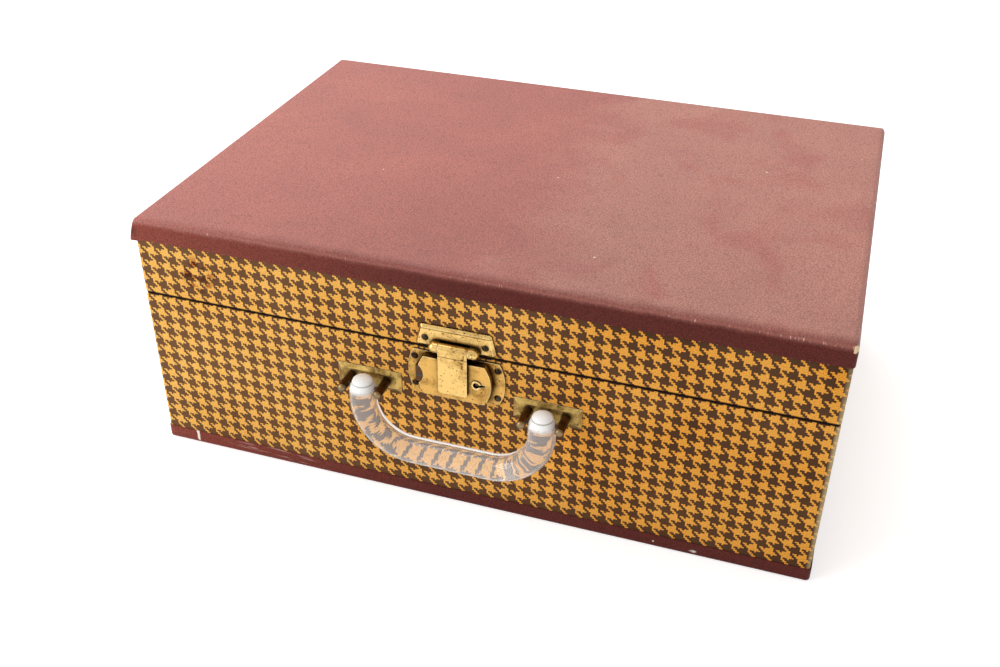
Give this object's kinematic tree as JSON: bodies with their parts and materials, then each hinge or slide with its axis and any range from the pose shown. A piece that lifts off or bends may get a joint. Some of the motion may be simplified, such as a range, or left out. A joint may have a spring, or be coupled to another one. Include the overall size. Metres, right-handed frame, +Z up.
{
  "type": "makeup train case",
  "caption": "Low hard-sided makeup case with houndstooth walls, leathercloth top and bottom, hasp lock, clear rod handle, hinged lid with mirror, slotted stays and a lift-out tray.",
  "frame": {"origin": "middle of the bottom face that the case stands on", "axes": "+Z up; -Y is the front, where the lock and the handle are; +X runs along the width"},
  "size_m": [0.3614, 0.2728, 0.14],
  "materials": {
    "board": "plain sawn board",
    "houndstooth_cloth": "two-colour houndstooth, matt",
    "leathercloth": "embossed pebble grain, worn",
    "lining": "matt rayon lining",
    "brass": "aged, pressed",
    "dark_brass": "browned",
    "steel": "plain",
    "clear_acrylic": "clear, polished",
    "mirror_glass": "silvered",
    "tray_card": "cloth-covered card"
  },
  "bodies": {
    "base": {"base_floor_panel": "board", "base_front_board": "board", "base_back_board": "board", "base_left_board": "board", "base_right_board": "board", "base_cloth": "houndstooth_cloth", "base_leathercloth": "leathercloth", "base_lining": "lining", "tray_ledge_front": "board", "tray_ledge_back": "board", "lock_back_plate": "brass", "lock_case": "brass", "lock_rivets": "dark_brass", "keyhole_eyelet": "brass", "key_post": "steel", "handle_plate_left": "brass", "handle_plate_right": "brass", "handle_posts": "dark_brass", "handle_pins": "steel", "base_hinge_leaf_left": "brass", "base_hinge_leaf_right": "brass", "base_hinge_rivets": "brass", "hinge_pins": "steel", "stay_pivot_rivets": "brass"},
    "lid": {"lid_top_panel": "board", "lid_front_board": "board", "lid_back_board": "board", "lid_left_board": "board", "lid_right_board": "board", "lid_cloth": "houndstooth_cloth", "lid_leathercloth": "leathercloth", "lid_lining": "lining", "mirror": "mirror_glass", "mirror_clips": "brass", "hasp_plate": "brass", "hasp_plate_rivets": "dark_brass", "hasp_pin": "steel", "lid_hinge_leaf_left": "brass", "lid_hinge_leaf_right": "brass", "lid_hinge_rivets": "brass", "stay_stud_rivets": "brass"},
    "hasp": {"hasp_strap": "brass", "hasp_catch": "brass"},
    "lock_slide": {"release_slide": "steel"},
    "handle": {"handle_grip": "clear_acrylic"},
    "stay_left": {"stay_arm_left": "brass"},
    "stay_right": {"stay_arm_right": "brass"},
    "tray": {"tray_box": "tray_card", "tray_long_divider": "tray_card", "tray_cross_dividers": "tray_card"}
  },
  "joints": [
    {"name": "lid_hinge", "type": "hinge", "parent": "base", "child": "lid", "pos_m": [0, 0.12835, 0.0975], "axis": [-1, 0, 0], "range_deg": [0, 105]},
    {"name": "hasp_swing", "type": "hinge", "parent": "lid", "child": "hasp", "pos_m": [-0.004, -0.12965, 0.0998], "axis": [-1, 0, 0], "range_deg": [0, 140]},
    {"name": "handle_swing", "type": "hinge", "parent": "base", "child": "handle", "pos_m": [-0.004, -0.13525, 0.071], "axis": [-1, 0, 0], "range_deg": [0, 155]},
    {"name": "slide_lock", "type": "slide", "parent": "base", "child": "lock_slide", "axis": [-1, 0, 0], "range_m": [0, 0.0032]},
    {"name": "tray_lift", "type": "slide", "parent": "base", "child": "tray", "axis": [0, 0, 1], "range_m": [0, 0.03]},
    {"name": "stay_left_turn", "type": "hinge", "parent": "base", "child": "stay_left", "pos_m": [-0.17, 0.10135, 0.0835], "axis": [-1, 0, 0], "range_deg": [0, 105]},
    {"name": "stay_right_turn", "type": "hinge", "parent": "base", "child": "stay_right", "pos_m": [0.17, 0.10135, 0.0835], "axis": [-1, 0, 0], "range_deg": [0, 105]}
  ],
  "couplings": [
    {"joint": "stay_left_turn", "follows": "lid_hinge", "ratio": 1},
    {"joint": "stay_right_turn", "follows": "lid_hinge", "ratio": 1}
  ]
}
